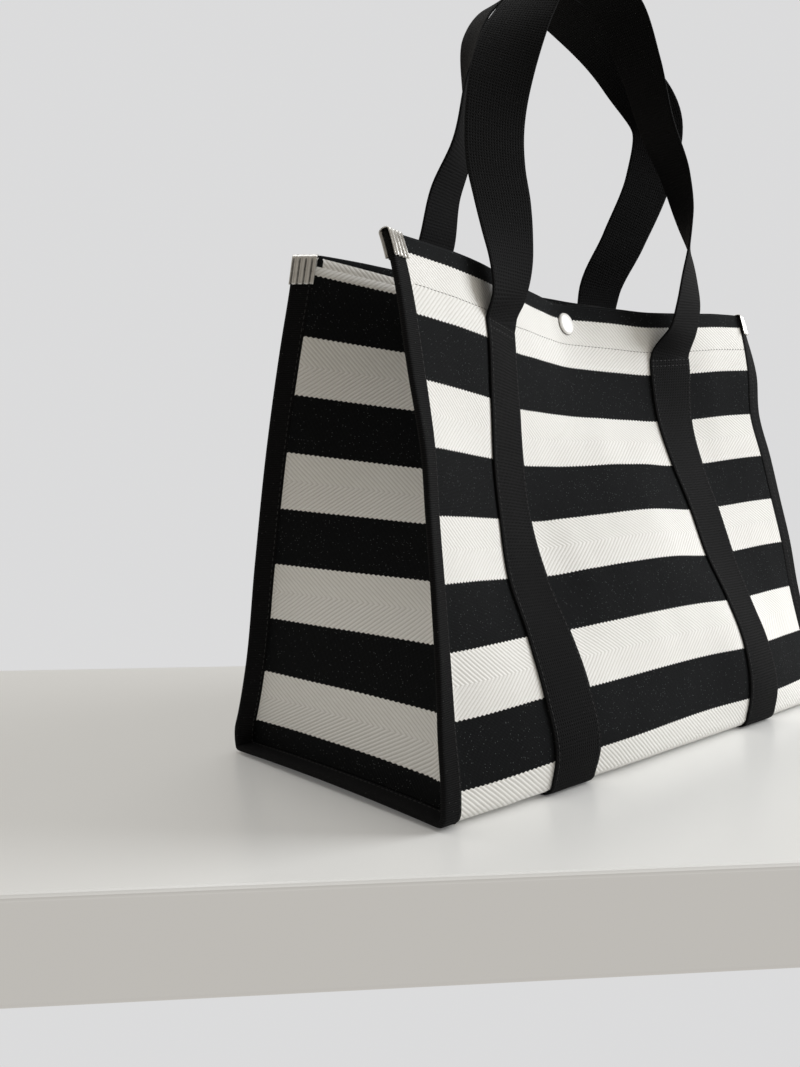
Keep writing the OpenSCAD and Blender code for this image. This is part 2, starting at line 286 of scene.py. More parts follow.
ridge = wave(tree, calc(tree, "ADD", slanted, wobble), chevron_run)
groove = calc(tree, "SUBTRACT", 1.0, ramp(tree, ridge, 0.0, 0.55))
crossing = calc(tree, "MULTIPLY", wave(tree, across, warp_pitch), wave(tree, down, weft_pitch))

cream_light = blend_colour(
    tree, threads["Shade"], (0.855, 0.848, 0.82, 1), (0.92, 0.915, 0.892, 1)
)
# Painted shade: the cream is darkened towards a warm grey in the grooves between the chevron ridges.
cream_groove_painted_shade = calc(tree, "MULTIPLY", groove, 0.42)
cream_colour = blend_colour(tree, cream_groove_painted_shade, cream_light, (0.50, 0.475, 0.43, 1))
# Painted shade with random hair tone: the charcoal is darker in the gaps between thread crossings and
# lighter on their tops.
dark_painted_shade_and_hair = calc(tree, "MULTIPLY", crossing, threads["Hair"])
dark_tone = blend_colour(tree, dark_painted_shade_and_hair, (0.0015, 0.0017, 0.0020, 1), (0.0260, 0.0300, 0.0330, 1))
fleck = calc(tree, "MULTIPLY", threads["Lint"], 0.42)
dark_colour = blend_colour(tree, fleck, dark_tone, (0.26, 0.28, 0.28, 1))
tree.links.new(blend_colour(tree, cream, dark_colour, cream_colour), shader.inputs["Base Color"])

cream_form = calc(tree, "MULTIPLY_ADD", ridge, 0.8, calc(tree, "MULTIPLY", crossing, 0.2))
dark_form = calc(tree, "MULTIPLY", crossing, 0.55)
charcoal = calc(tree, "SUBTRACT", 1.0, cream)
relief = calc(
    tree, "MULTIPLY_ADD", cream, cream_form, calc(tree, "MULTIPLY", charcoal, dark_form)
)
relief = calc(tree, "MULTIPLY_ADD", threads["Hair"], 0.25, relief)
add_bump(tree, shader, relief, strength=0.7, distance=0.0004)


# Body cloth: one strip of canvas that makes the front wall, the base and the back wall. It is
# turned over at both rims, and its long edges are sewn to the gussets in a seam that stands out.
half_w = 0.190
half_d = 0.093
wall_length = 0.302
cloth_t = 0.0012
hem_depth = 0.032
hem_offset = 0.0015
base_z = 0.0024
seam_z = 0.0026
seam_radius = 0.0045
edge_radius = 0.005
base_lift = 0.0015
left_settle = 0.0037
settle_from, settle_over = 0.09, 0.1
wrinkle_broad, wrinkle_fine = 0.0012, 0.00045
wall_samples = 152

FRONT, BACK = 0, 1
# How far each wall stands from the bag's middle, in mm: one row for each distance below the rim,
# and in it one value for each place across, from the left seam to the right one.
wall_places = {
    FRONT: [-190, -121, -85, -45, -4, 39, 81, 118, 190],
    BACK: [-190, -123, -85, -40, 0, 40, 85, 123, 190],
}
wall_drops = {
    FRONT: [0, 10, 44, 78, 112, 146, 180, 214, 248, 282, 302],
    BACK: [0, 20, 44, 112, 180, 248, 282, 302],
}
wall_stand = {
    FRONT: [
        [46, 35, 25, 11, 1, 7, 14, 18, 22],
        [50, 37, 27, 13, 3, 8, 14, 19, 25],
        [60, 44, 31, 20, 11, 11, 15, 23, 32],
        [67, 46, 34, 26, 20, 19, 21, 25, 35],
        [73, 48, 38, 33, 33, 34, 34, 35, 45],
        [76, 53, 45, 46, 48, 50, 49, 48, 54],
        [80, 61, 58, 61, 64, 64, 62, 60, 63],
        [84, 76, 75, 77, 78, 78, 78, 74, 70],
        [88, 89, 90, 89, 89, 89, 91, 88, 79],
        [93, 97, 98, 98, 96, 95, 96, 96, 89],
        [93, 93, 93, 94, 94, 94, 93, 93, 93],
    ],
    BACK: [
        [21, 22, 21, 14, 10, 14, 27, 31, 32],
        [26, 25, 25, 19, 15, 19, 31, 34, 36],
        [33, 30, 31, 26, 22, 26, 36, 39, 41],
        [50, 46, 46, 43, 41, 44, 49, 52, 54],
        [63, 62, 62, 60, 59, 61, 64, 66, 66],
        [75, 78, 79, 79, 79, 80, 80, 80, 77],
        [85, 92, 93, 94, 94, 94, 93, 92, 87],
        [93, 94, 94, 94, 94, 94, 94, 94, 93],
    ],
}


def smooth(k):
    k = np.clip(k, 0, 1)
    return k * k * (3 - 2 * k)


def curve_through(knots, values, at):
    """A smooth curve through values at uneven knots, read at each of the places in at."""
    knots, values, at = (np.asarray(v, float) for v in (knots, values, at))
    slopes = np.gradient(values, knots, axis=0)
    low = np.clip(np.searchsorted(knots, at, side="right") - 1, 0, len(knots) - 2)
    gap = knots[low + 1] - knots[low]
    k = (np.clip(at, knots[0], knots[-1]) - knots[low]) / gap
    k = k.reshape(k.shape + (1,) * (values.ndim - 1))
    gap = gap.reshape(k.shape)
    return (
        values[low] * (1 + 2 * k) * (1 - k) ** 2
        + slopes[low] * gap * k * (1 - k) ** 2
        + values[low + 1] * k**2 * (3 - 2 * k)
        - slopes[low + 1] * gap * k**2 * (1 - k)
    )


def wrinkle(x, drop, seed):
    calm = smooth((half_w - abs(x)) / 0.03) * smooth((wall_length - drop) / 0.05)
    broad = noise.noise(Vector((x * 16, drop * 11, seed)))
    fine = noise.noise(Vector((x * 45 + 7, drop * 30, seed)))
    return calm * (wrinkle_broad * broad + wrinkle_fine * fine)


def wall_column(side, x):
    """The wall's line at one place across, from its rim down to the middle of the base."""
    drops = np.linspace(0, wall_length, wall_samples)
    across = curve_through(wall_places[side], np.array(wall_stand[side], float).T, [x * 1000])[0]
    stand = curve_through(np.array(wall_drops[side]) / 1000, across / 1000, drops)
    stand = stand + np.array([wrinkle(x, drop, 3.0 + side) for drop in drops])
    fall = np.sqrt(np.maximum(np.diff(drops) ** 2 - np.diff(stand) ** 2, 1e-12))
    at_edge = smooth((abs(x) - half_w + 0.02) / 0.02)
    floor = base_z + (seam_z - base_z) * at_edge
    settle = left_settle * smooth((-x - settle_from) / settle_over) * (side == FRONT)
    height = floor - settle + np.concatenate([np.cumsum(fall[::-1])[::-1], [0]])
    radius = edge_radius + (seam_radius - edge_radius) * at_edge
    keep = height > floor + radius
    stand, height = stand[keep], height[keep]
    start = np.array([stand[-1], height[-1]])
    end = np.array([half_d - radius, floor])
    corner = np.array([max(start[0], half_d - 0.001), floor])
    turn = np.linspace(0, 1, 14)[1:, None]
    arc = (1 - turn) ** 2 * start + 2 * turn * (1 - turn) * corner + turn**2 * end
    flat = np.linspace(end[0], 0, 30)[1:]
    lift = base_lift * smooth((abs(x) - half_w + 0.07) / 0.07) * (1 - (flat / end[0]) ** 2)
    points = np.concatenate(
        [np.column_stack([stand, height]), arc, np.column_stack([flat, floor + lift])]
    )
    sign = -1 if side == FRONT else 1
    return np.column_stack([np.full(len(points), x), sign * points[:, 0], points[:, 1]])


def resample(points, count):
    gone = np.concatenate([[0], np.cumsum(np.linalg.norm(np.diff(points, axis=0), axis=1))])
    at = np.linspace(0, gone[-1], count)
    return np.column_stack([np.interp(at, gone, points[:, i]) for i in range(3)]), gone[-1]


body_rows = 199
body_xs = np.linspace(-half_w, half_w, 191)
body_grid, body_length, body_normal = {}, {}, {}
for side in (FRONT, BACK):
    columns = [resample(wall_column(side, x), body_rows) for x in body_xs]
    body_grid[side] = np.stack([points for points, _ in columns], axis=1)
    body_length[side] = np.array([length for _, length in columns])
    normal = np.cross(
        np.gradient(body_grid[side], axis=1), np.gradient(body_grid[side], axis=0)
    ) * (-1 if side == BACK else 1)
    body_normal[side] = -normal / np.linalg.norm(normal, axis=2, keepdims=True)


def grid_read(grid, row, column):
    row = np.clip(row, 0, grid.shape[0] - 1.001)
    column = np.clip(column, 0, grid.shape[1] - 1.001)
    r, c = np.floor(row).astype(int), np.floor(column).astype(int)
    i, j = (row - r)[..., None], (column - c)[..., None]
    return (
        (grid[r, c] * (1 - i) + grid[r + 1, c] * i) * (1 - j)
        + (grid[r, c + 1] * (1 - i) + grid[r + 1, c + 1] * i) * j
    )


def body_at(side, x, drop, out=0.0):
    """Points on the body cloth, drop below its rim, moved out from the bag."""
    x, drop = np.broadcast_arrays(np.asarray(x, float), np.asarray(drop, float))
    column = (x + half_w) / (2 * half_w) * (len(body_xs) - 1)
    length = np.interp(x, body_xs, body_length[side])
    row = drop / length * (body_rows - 1)
    normal = grid_read(body_normal[side], row, column)
    normal /= np.linalg.norm(normal, axis=-1, keepdims=True)
    return grid_read(body_grid[side], row, column) + normal * out


def seam_out(end, point, curl=0.0):
    """The way that a corner's bound seam stands out: at 45 degrees, and level under the bag."""
    side = math.copysign(1, point[1])
    level = float(smooth((0.024 - point[2]) / 0.02))
    angle = math.radians(45 - curl) * (1 - level)
    return np.array([end * math.cos(angle), side * math.sin(angle), 0])


curl_heights = [0, 30, 60, 110, 180, 240, 265, 292]
left_curls = [45, 42, 31, 23, 22, 33, 30, 26]
right_curl, right_top_curl = 39, 25
right_curl_from, right_curl_over = 0.24, 0.05


def corner_curl(end, point):
    """How far, in degrees, each front seam turns from 45 degrees towards the bag's end."""
    if end < 0 and point[1] < 0:
        return float(curve_through(curl_heights, left_curls, [point[2] * 1000])[0])
    if end > 0 and point[1] < 0:
        near_top = float(smooth((point[2] - right_curl_from) / right_curl_over))
        return right_curl + right_top_curl * near_top
    return 0.0


def grid_faces(rows, cols, flip=False, wrap=False):
    faces = []
    for r in range(rows - 1):
        for c in range(cols if wrap else cols - 1):
            n = (c + 1) % cols
            face = (r * cols + c, r * cols + n, (r + 1) * cols + n, (r + 1) * cols + c)
            faces.append(face[::-1] if flip else face)
    return faces


def set_map(piece, uvs):
    """Give the piece a map that holds one place for each of its points."""
    layer = piece.data.uv_layers.new(name="cloth")
    corner = np.zeros(len(piece.data.loops), int)
    piece.data.loops.foreach_get("vertex_index", corner)
    layer.data.foreach_set("uv", uvs.reshape(-1, 2)[corner].ravel())


def cloth_sheet(name, points, uvs, material, thickness, flip=False):
    """A sheet of cloth through a grid of points, given its thickness, with its map in metres."""
    rows, cols = points.shape[:2]
    piece = add_mesh(name, points.reshape(-1, 3), grid_faces(rows, cols, flip), material)
    set_map(piece, uvs)
    thick = piece.modifiers.new("thickness", "SOLIDIFY")
    thick.thickness = thickness
    thick.offset = 0
    return settled(piece)


def settled(piece):
    """The piece with its modifiers made part of its mesh."""
    graph = bpy.context.evaluated_depsgraph_get()
    mesh = bpy.data.meshes.new_from_object(piece.evaluated_get(graph))
    piece.modifiers.clear()
    piece.data = mesh
    return piece


flange = [0.0012, 0.0026, 0.0042]
inner_xs = np.linspace(-half_w + 0.0006, half_w - 0.0006, 96)
hem_drops = np.linspace(hem_depth, 0.0015, 9)
rim_turn = [(0.85, 0.0004), (0.5, 0.0008), (0.1, 0.0005)]
outer_drops = np.concatenate([[0.0012], np.linspace(0.004, wall_length + half_d, 98)])


def body_row(side, drop, out=0.0, lift=0.0):
    """One row of the strip, from its left edge in the seam to its right one."""
    points = body_at(side, inner_xs, drop, out)
    left, right = body_at(side, -half_w, drop, out), body_at(side, half_w, drop, out)
    row = (
        [left + seam_out(-1, left, corner_curl(-1, left)) * reach for reach in flange[::-1]]
        + list(points)
        + [right + seam_out(1, right, corner_curl(1, right)) * reach for reach in flange]
    )
    return np.array(row) + np.array([0, 0, lift])


row_xs = np.concatenate([-half_w - np.array(flange[::-1]), inner_xs, half_w + np.array(flange)])


def wall_rows(side):
    """The strip from the end of one hem, over the rim and down to the middle of the base."""
    rows = [body_row(side, drop, -hem_offset) for drop in hem_drops]
    rows += [body_row(side, 0.0, -hem_offset * share, lift) for share, lift in rim_turn]
    rows += [body_row(side, drop) for drop in outer_drops[:-1]]
    vs = [-drop - 0.0015 for drop in hem_drops] + [-0.0012, -0.0005, 0.0003]
    vs += list(outer_drops[:-1])
    return rows, vs


front_rows, front_vs = wall_rows(FRONT)
back_rows, back_vs = wall_rows(BACK)
body_points = np.array(front_rows + [body_row(FRONT, 0.5)] + back_rows[::-1])
body_vs = np.array(front_vs + [wall_length + half_d] + back_vs[::-1])
body_uvs = np.stack(np.broadcast_arrays(row_xs[None, :], body_vs[:, None]), axis=2)
body = cloth_sheet("body_cloth", body_points, body_uvs, canvas, cloth_t)
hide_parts("front_panel", "base_panel", "back_panel", "front_hem", "back_hem")
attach(body, "bag")


# Seams: where each gusset meets the body, both layers of cloth turn out into a standing seam. It
# runs down each corner, and along under the base's end.
seam_rows = 260
seam_layers = 0.0013
gusset_middle_z = 0.15


def seam_path(end, side):
    """Points down one corner, the way out of the bag there, and the way to the gusset's own layer."""
    length = np.interp(end * half_w, body_xs, body_length[side])
    drops = np.linspace(0, length * 0.9995, seam_rows)
    roots = body_at(side, end * half_w, drops)
    outs = np.array([seam_out(end, p, corner_curl(end, p)) for p in roots])
    along = np.gradient(roots, axis=0)
    along /= np.linalg.norm(along, axis=1, keepdims=True)
    across = np.cross(along, outs)
    across /= np.linalg.norm(across, axis=1, keepdims=True)
    to_gusset = np.array([end * half_w, 0, gusset_middle_z]) - roots
    across *= np.sign(np.sum(across * to_gusset, axis=1))[:, None]
    return roots, outs, across, drops


seams = {(end, side): seam_path(end, side) for end in (-1, 1) for side in (FRONT, BACK)}


def along_seam(end, side, drop, part):
    values = seams[end, side][part]
    return np.array([np.interp(drop, seams[end, side][3], values[:, i]) for i in range(3)])


# Gussets: a canvas panel at each end, pleated inwards. The fold runs from the middle of the rim
# towards the front of the base, deepest at the rim. Its hem is turned in and stands a little higher.
crease_softness = 0.03
push_heights = [0, 51, 118, 185, 250, 292]
push_depths = [0, 11, 30, 57, 79, 84]
crease_droops = [0, 1.5, 4, 11.5, 13, 15]
crease_places = [0.84, 0.84, 0.77, 0.66, 0.57, 0.55]
gusset_border = 0.0344
gusset_top = 0.0050
gusset_length = 0.31
gusset_ripple = 0.0012
foot_step = 0.0014
beside_seam, hem_share_at_seam = 0.25, 0.25


def crease_share(s, crease):
    u = np.where(s < crease, 1 - s / crease, (s - crease) / (1 - crease))
    soft = math.sqrt(crease_softness)
    return 1 - (np.sqrt(u**2 + crease_softness) - soft) / (math.sqrt(1 + crease_softness) - soft)


def gusset_grid(end, drops, inside=0.0):
    """Rows down a gusset with its edges in the seams, and how far down the stripes each point is."""
    rows, downs = [], []
    foot = {}
    for side in (FRONT, BACK):
        low = seams[end, side][0][:, 2]
        foot[side] = seams[end, side][3][int(np.argmax(low < seam_z + 0.0002))]
    for k in drops:
        edge = {}
        for side in (FRONT, BACK):
            drop = k * foot[side]
            point = along_seam(end, side, drop, 0) + along_seam(end, side, drop, 2) * seam_layers
            edge[side] = (point, along_seam(end, side, drop, 1))
        back, front = edge[BACK][0], edge[FRONT][0]
        height = (back[2] + front[2]) / 2 * 1000
        crease = float(curve_through(push_heights, crease_places, [height])[0])
        spots = np.concatenate([
            np.linspace(0, crease - 0.1, 15),
            np.linspace(crease - 0.08, crease + 0.08, 13),
            np.linspace(crease + 0.1, 1, 15),
        ])
        share = crease_share(spots, crease)
        row = back + (front - back) * spots[:, None]
        lift = base_lift * (1 - np.minimum(1, (row[:, 1] / (half_d - seam_radius)) ** 2))
        row[:, 2] += lift * smooth((k - 0.8) / 0.2)
        depth = curve_through(push_heights, push_depths, row[:, 2] * 1000)
        push = depth / 1000 * share
        ripple = [noise.noise(Vector((s * 3, k * 4, 9.0 + end))) for s in spots]
        soft = gusset_ripple * np.array(ripple)
        row[:, 0] -= end * (push + soft * share * (1 - share) * 4)
        row[:, 2] -= curve_through(push_heights, crease_droops, row[:, 2] * 1000) / 1000 * share
        left = [back + edge[BACK][1] * reach for reach in flange[::-1]]
        right = [front + edge[FRONT][1] * reach for reach in flange]
        if inside:
            left, right = left[-1:], right[:1]
        rows.append(np.array(left + list(row) + right))
        places = np.concatenate([np.zeros(len(left)), spots, np.ones(len(right))])
        downs.append(k * (foot[BACK] + (foot[FRONT] - foot[BACK]) * places))
    rows = np.array(rows)
    if inside:
        face = np.cross(np.gradient(rows, axis=1), np.gradient(rows, axis=0))
        face /= np.linalg.norm(face, axis=2, keepdims=True) * end * np.sign(face[..., :1])
        from_seam = np.minimum(spots, 1 - spots)[None, :, None]
        clear = smooth(from_seam / beside_seam)
        offset = inside * (hem_share_at_seam + (1 - hem_share_at_seam) * clear)
        rows[:, 1:-1] -= face[:, 1:-1] * offset
    else:
        for reach in (flange[0], foot_step, foot_step):
            rows = np.concatenate([rows, rows[-1:] + np.array([end * reach, 0, 0])])
            downs.append(downs[-1] + foot_step)
    return rows, np.array(downs)


def gusset_map(rows, downs, shift):
    wide = np.linalg.norm(np.diff(rows[len(rows) // 2], axis=0), axis=1)
    over = np.concatenate([[0], np.cumsum(wide)])
    over -= over[len(over) // 2]
    return np.stack(np.broadcast_arrays(over[None, :], downs - shift), axis=2)


outer_places = np.concatenate([
    np.linspace(gusset_top / gusset_length, 0.9, 66), np.linspace(0.91, 1, 14)
])
gusset_hem_places = np.linspace(0.0, hem_depth / gusset_length, 10)


for end, label in ((-1, "left"), (1, "right")):
    outer, downs = gusset_grid(end, outer_places)
    uvs = gusset_map(outer, downs, gusset_border)
    gusset = cloth_sheet(label + "_gusset_cloth", outer, uvs, canvas, cloth_t, flip=end > 0)
    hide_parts(label + "_gusset")
    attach(gusset, "bag")

    inner, downs = gusset_grid(end, gusset_hem_places, hem_offset + 0.0006)
    uvs = gusset_map(inner, downs, -first_border - 0.003)
    hem = cloth_sheet(label + "_gusset_hem", inner, uvs, canvas, cloth_t, flip=end > 0)
    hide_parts(label + "_hem")
    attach(hem, "bag")


# Binding: black ribbed cotton tape, folded over the standing seam from rim to rim under the gusset.
# It is stitched through all its layers near its inner edge.
binding_w = 0.0132
binding_t = 0.0036
binding_start = 0.0010
right_overlap = 0.0034
tape_rib, tape_cross = 0.0011, 0.0008

tape, tree, shader = new_material("black tape", 0.85, Specular_IOR_Level=0.12)
across, down, hairs = woven_ground(tree, Lint=0.12)
rib = wave(tree, down, tape_rib)
hairy = calc(tree, "MULTIPLY_ADD", hairs["Hair"], 0.3, rib)
grain = calc(tree, "MULTIPLY_ADD", wave(tree, across, tape_cross), 0.3, hairy)
# Painted shade with random hair tone: the tape is darker in the troughs between its ribs.
painted_shade_and_hair = calc(tree, "MULTIPLY", rib, hairs["Hair"])
tone = blend_colour(tree, painted_shade_and_hair, (0.0012, 0.0012, 0.0014, 1), (0.0130, 0.0130, 0.0140, 1))
tone = blend_colour(tree, calc(tree, "MULTIPLY", hairs["Lint"], 0.4), tone, (0.25, 0.25, 0.25, 1))
tree.links.new(tone, shader.inputs["Base Color"])
add_bump(tree, shader, grain, strength=0.7, distance=0.0003)


def face_outward(piece):
    shell = bmesh.new()
    shell.from_mesh(piece.data)
    bmesh.ops.recalc_face_normals(shell, faces=shell.faces)
    shell.to_mesh(piece.data)
    shell.free()


def band_mesh(name, middles, normals, halves, overs, material):
    """A closed flat band through rows of middle points, twice halves thick, mapped in metres."""
    rows, cols = middles.shape[:2]
    top = middles + normals * halves[None, :, None]
    bottom = (middles - normals * halves[None, :, None])[:, ::-1]
    ring = np.concatenate([top, bottom], axis=1)
    faces = grid_faces(rows, 2 * cols, wrap=True)
    for r, turn in ((0, 1), (rows - 1, -1)):
        for c in range(cols - 1):
            base, far = r * 2 * cols, (r + 1) * 2 * cols - 1
            faces.append([base + c, far - c, far - 1 - c, base + c + 1][::turn])
    piece = add_mesh(name, ring.reshape(-1, 3), faces, material)
    middle = middles[:, cols // 2]
    gone = np.concatenate([[0], np.cumsum(np.linalg.norm(np.diff(middle, axis=0), axis=1))])
    over = np.concatenate([overs, overs[::-1]])
    set_map(piece, np.stack(np.broadcast_arrays(over[None, :], gone[:, None]), axis=2))
    face_outward(piece)
    return piece


def edge_rounded(overs, width, thickness):
    """Half the band's thickness at each place across it, rounded off at both edges."""
    near = np.clip((np.abs(overs) - (width / 2 - thickness / 2)) / (thickness / 2), 0, 1)
    return thickness / 2 * np.sqrt(np.maximum(1 - near**2, 0.04))


binding_overs = binding_w * np.concatenate([
    [-0.5, -0.47, -0.42], np.linspace(-0.36, 0.36, 7), [0.42, 0.47, 0.5]
])
binding_halves = edge_rounded(binding_overs, binding_w, binding_t)
for end, label in ((-1, "left"), (1, "right")):
    roots, outs, sides_out = (
        np.concatenate([seams[end, FRONT][i], seams[end, BACK][i][::-1]]) for i in range(3)
    )
    overlapped = (end > 0) & (roots[:, 1] < 0)
    start = binding_start - right_overlap * smooth(roots[:, 2] / 0.05) * overlapped
    reach = start[:, None] + binding_w / 2 + binding_overs
    middles = roots[:, None] + outs[:, None] * reach[..., None]
    middles += sides_out[:, None] * seam_layers / 2
    normals = np.broadcast_to(sides_out[:, None], middles.shape)
    binding = band_mesh(
        label + "_binding_tape", middles, normals, binding_halves, binding_overs, tape
    )
    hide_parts(label + "_binding")
    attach(binding, "bag")


# Clips: a nickel-plated strip, pressed with lengthwise ribs and folded over each end of a binding.
# It is a little wider than the tape, and its fold stands above the rim.
clip_height = 0.0145
clip_rib = 0.00045
clip_ribs = 4
clip_metal_t = 0.0006
clip_play = 0.0003
clip_overhang = 0.0005
clip_bow = 0.7

nickel, tree, shader = new_material("nickel", 0.28, Base_Color=(0.62, 0.61, 0.58, 1), Metallic=1.0)
spot = place(tree, "TexCoord")
worn = place(tree, "TexNoise", {"Vector": spot.outputs["Object"], "Scale": 260.0, "Detail": 4.0})
rough = place(tree, "MapRange", {"Value": worn.outputs["Fac"], "To Min": 0.2, "To Max": 0.42})
tree.links.new(rough.outputs["Result"], shader.inputs["Roughness"])
dull = blend_colour(tree, worn.outputs["Fac"], (0.50, 0.49, 0.47, 1), (0.78, 0.77, 0.74, 1))
tree.links.new(dull, shader.inputs["Base Color"])
add_bump(tree, shader, worn.outputs["Fac"], strength=0.2, distance=0.0001)

clip_reach = binding_t / 2 + clip_play + clip_metal_t / 2
clip_face = np.linspace(-clip_height, 0, 12)
clip_wide = np.linspace(-clip_play, binding_w + clip_overhang, 45)
clip_profile = [(clip_reach, height) for height in clip_face]
clip_profile += [
    (clip_reach * math.cos(angle), clip_reach * clip_bow * math.sin(angle))
    for angle in np.linspace(0, math.pi, 9)[1:-1]
]
clip_profile += [(-clip_reach, height) for height in clip_face[::-1]]
clip_across = (clip_wide - clip_wide[0]) / (clip_wide[-1] - clip_wide[0])
clip_wave = clip_rib * np.cos(2 * math.pi * clip_ribs * clip_across)

for (end, side), name in (
    ((-1, FRONT), "front_left_clip"), ((1, FRONT), "front_right_clip"),
    ((-1, BACK), "back_left_clip"), ((1, BACK), "back_right_clip"),
):
    clip_start = binding_start - right_overlap * (end > 0 and side == FRONT)
    up = -np.gradient(seams[end, side][0], axis=0)[0]
    up /= np.linalg.norm(up)
    rows = []
    for away, height in clip_profile:
        drop = max(0, -height)
        root = along_seam(end, side, drop, 0) + up * max(0, height)
        out, across = along_seam(end, side, drop, 1), along_seam(end, side, drop, 2)
        ribbed = away + np.sign(away) * clip_wave * smooth(abs(away) / clip_reach)
        rows.append(
            root + across * seam_layers / 2
            + out * (clip_start + clip_wide)[:, None] + across * ribbed[:, None]
        )
    points = np.array(rows)
    faces = grid_faces(len(clip_profile), len(clip_wide))
    clip = add_mesh(name + "_metal", points.reshape(-1, 3), faces, nickel)
    metal = clip.modifiers.new("metal", "SOLIDIFY")
    metal.thickness = clip_metal_t
    metal.offset = 0
    clip = settled(clip)
    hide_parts(name)
    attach(clip, "bag")


# Webbing: flat black cotton webbing in a close grid weave. It is sewn up each wall to the hem, and
# then runs free as a handle, turning edge-on over its legs. More of it crosses under the base.
strap_w = 0.0378
strap_t = 0.0016
strap_off = cloth_t / 2 + 0.0001 + strap_t / 2
stitch_drop = 0.033
base_join = 0.310
cord_pitch, float_pitch, ply_pitch = 0.0017, 0.0019, 0.0006
loop_step = 0.003
loop_fade = 0.018

webbing, tree, shader = new_material("black webbing", 0.75, Specular_IOR_Level=0.07)
across, down, hairs = woven_ground(tree, Lint=0.05)
cord_angle = calc(tree, "MULTIPLY", across, math.pi / cord_pitch)
float_angle = calc(tree, "MULTIPLY", down, math.pi / float_pitch)
pit = calc(tree, "MULTIPLY", *(
    ramp(tree, calc(tree, "ABSOLUTE", calc(tree, "SINE", angle)), 0.45, 0.95)
    for angle in (cord_angle, float_angle)
))
ply = calc(tree, "MULTIPLY_ADD", wave(tree, down, ply_pitch), 0.2, 0.8)
knuckle = calc(tree, "MULTIPLY", calc(tree, "SUBTRACT", 1.0, pit), ply)
hairy = calc(tree, "MULTIPLY_ADD", hairs["Hair"], 0.6, 0.5)
# Painted shade with random hair tone: the webbing is darker in the pits of its weave and lighter on
# its knuckles.
painted_shade_and_hair = calc(tree, "MULTIPLY", knuckle, hairy)
tone = blend_colour(tree, painted_shade_and_hair, (0.0002, 0.0002, 0.0003, 1), (0.0068, 0.0068, 0.0073, 1))
tone = blend_colour(tree, calc(tree, "MULTIPLY", hairs["Lint"], 0.3), tone, (0.2, 0.2, 0.2, 1))
tree.links.new(tone, shader.inputs["Base Color"])
add_bump(tree, shader, knuckle, strength=0.85, distance=0.0005)

strap_overs = strap_w * np.concatenate([
    [-0.5, -0.49, -0.47], np.linspace(-0.44, 0.44, 11), [0.47, 0.49, 0.5]
])
strap_halves = edge_rounded(strap_overs, strap_w, strap_t)
# Each wall strap's middle line across the wall, at the rim and at the base.
strap_middles = {
    (FRONT, -1): (-0.1030, -0.1055), (FRONT, 1): (0.0995, 0.1020),
    (BACK, -1): (-0.1040, -0.1040), (BACK, 1): (0.1040, 0.1040),
}

# Each loop from its left stitching to its right: place in mm, and the way that one edge of the
# webbing faces in degrees, where 180 is to the left, 90 to the back and 270 to the front.
loops = {
    FRONT: [
        (-104, -45, 276, 193), (-104, -46, 294, 182), (-104, -43, 312, 171),
        (-103.5, -38.5, 331, 162), (-102, -32, 352, 158), (-98, -27, 375, 157),
        (-88, -24, 412, 146), (-68, -22, 450, 122), (-38, -21.5, 481, 100), (-4, -21.5, 489, 90),
        (27, -21.5, 481, 88), (53, -22, 450, 78), (71, -24, 414, 68), (90.5, -28, 381, 60),
        (95.5, -32, 357, 50), (97.5, -35, 335, 33), (99, -35, 314, 18), (100, -34, 294, 8),
        (101, -30, 278, 4),
    ],
    BACK: [
        (-104, 30, 276, 195), (-103, 27, 292, 192), (-101, 18, 315, 192), (-100, 11, 345, 199),
        (-97, 1, 368, 208), (-87, 6, 410, 228), (-68, 14, 455, 250), (-36, 17.5, 482, 264),
        (0, 17.5, 489, 270), (38, 17.5, 482, 276), (78, 8, 460, 296), (103, -3, 428, 320),
        (105.5, 5, 391, 334), (100, 23, 348, 338), (95, 41, 310, 343), (97.5, 44, 292, 350),
        (104, 40, 278, 355),
    ],
}


def wall_strap(side, end):
    """Rows of the webbing sewn to one wall, from under the base up to its last stitching."""
    under_base = np.linspace(base_join, wall_length - 0.012, 12)
    drops = np.concatenate([under_base, np.linspace(wall_length - 0.016, stitch_drop, 84)])
    top, foot = strap_middles[side, end]
    middle = top + (foot - top) * np.minimum(drops / wall_length, 1)
    outward = strap_overs * end
    return body_at(side, middle[:, None] + outward[None, :], drops[:, None], strap_off)


